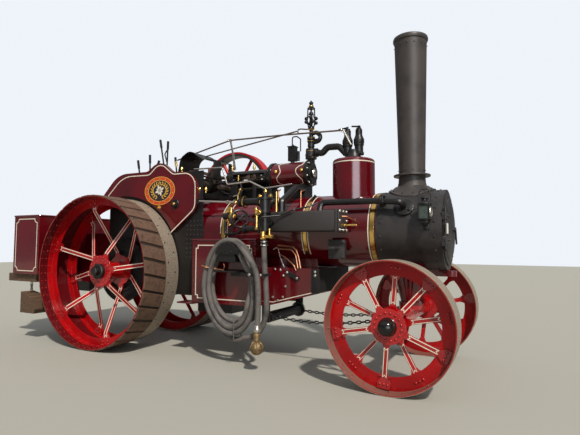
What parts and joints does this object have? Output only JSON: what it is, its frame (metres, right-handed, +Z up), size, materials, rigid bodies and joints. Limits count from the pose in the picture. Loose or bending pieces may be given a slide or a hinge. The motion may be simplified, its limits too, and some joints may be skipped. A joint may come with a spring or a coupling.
{
  "type": "steam traction engine",
  "caption": "Farm traction engine with locomotive boiler, overhead single cylinder, spoked strake wheels, chain steering, side tanks and a coiled suction hose.",
  "frame": {"origin": "on the ground, under the middle of the whole machine's length and width", "axes": "+X forward, +Y to the driver's left, +Z up"},
  "size_m": [6.197, 2.134, 3.67],
  "materials": {
    "maroon_paint": "gloss coach paint",
    "red_paint": "gloss paint",
    "black_iron": "satin black paint on castings",
    "worn_iron": "road worn, rusty",
    "brass": "polished",
    "bright_steel": "oiled bright steel",
    "copper": "polished copper",
    "timber": "weathered",
    "hose_rubber": "ribbed, dusty grey"
  },
  "bodies": {
    "chassis": {"boiler_barrel": "maroon_paint", "firebox": "maroon_paint", "boiler_bands": "brass", "smokebox": "black_iron", "chimney": "black_iron", "steam_dome": "maroon_paint", "safety_valves": "black_iron", "steam_pipes": "black_iron", "cylinder_lagging": "maroon_paint", "cylinder_castings": "black_iron", "trunk_guide": "black_iron", "motion_rods": "bright_steel", "crankshaft": "bright_steel", "hornplates": "black_iron", "gear_cover": "maroon_paint", "second_shaft": "bright_steel", "crank_guard": "black_iron", "governor": "black_iron", "control_rods": "bright_steel", "levers": "black_iron", "feed_heater": "black_iron", "feed_pump": "black_iron", "feed_pipes": "copper", "side_tanks": "maroon_paint", "belly_tank": "maroon_paint", "ashpan": "black_iron", "hose_saddle": "black_iron", "suction_coil": "hose_rubber", "hose_drop": "hose_rubber", "hose_end": "hose_rubber", "hose_strainer": "brass", "tender": "maroon_paint", "tail_tank": "maroon_paint", "tail_timbers": "timber", "drawbar": "black_iron", "wheel_chock": "timber", "perch_bracket": "maroon_paint", "steering_gear": "black_iron", "steering_chains": "black_iron", "steering_column": "black_iron", "lanterns": "black_iron"},
    "rear_wheel_left": {"rear_rim_left": "red_paint", "rear_strakes_left": "worn_iron", "rear_spokes_left": "red_paint", "rear_cap_left": "black_iron", "rear_axle": "black_iron"},
    "rear_wheel_right": {"rear_rim_right": "red_paint", "rear_strakes_right": "worn_iron", "rear_spokes_right": "red_paint", "rear_cap_right": "black_iron"},
    "front_carriage": {"front_axle": "maroon_paint"},
    "front_wheel_left": {"front_rim_left": "red_paint", "front_spokes_left": "red_paint", "front_cap_left": "black_iron"},
    "front_wheel_right": {"front_rim_right": "red_paint", "front_spokes_right": "red_paint", "front_cap_right": "black_iron"},
    "crank_flywheel": {"flywheel": "red_paint"},
    "smokebox_door": {"smokebox_door": "black_iron"}
  },
  "joints": [
    {"name": "rear_left_roll", "type": "hinge", "parent": "chassis", "child": "rear_wheel_left", "pos_m": [-1.3385, 0.7, 0.99], "axis": [0, 1, 0], "continuous": true},
    {"name": "rear_right_roll", "type": "hinge", "parent": "chassis", "child": "rear_wheel_right", "pos_m": [-1.3385, -0.7, 0.99], "axis": [0, 1, 0], "continuous": true},
    {"name": "steering", "type": "hinge", "parent": "chassis", "child": "front_carriage", "pos_m": [2.4915, 0, 0.7], "axis": [0, 0, 1], "range_deg": [-20, 20], "deforming": ["steering_chains"]},
    {"name": "front_left_roll", "type": "hinge", "parent": "front_carriage", "child": "front_wheel_left", "pos_m": [2.4915, 0.846, 0.607], "axis": [0, 1, 0], "continuous": true},
    {"name": "front_right_roll", "type": "hinge", "parent": "front_carriage", "child": "front_wheel_right", "pos_m": [2.4915, -0.846, 0.607], "axis": [0, 1, 0], "continuous": true},
    {"name": "flywheel_turn", "type": "hinge", "parent": "chassis", "child": "crank_flywheel", "pos_m": [-0.2185, 0.645, 2.15], "axis": [0, 1, 0], "continuous": true},
    {"name": "smokebox_door_swing", "type": "hinge", "parent": "chassis", "child": "smokebox_door", "pos_m": [2.9305, -0.402, 1.51], "axis": [0, 0, 1], "range_deg": [-110, 0]}
  ]
}
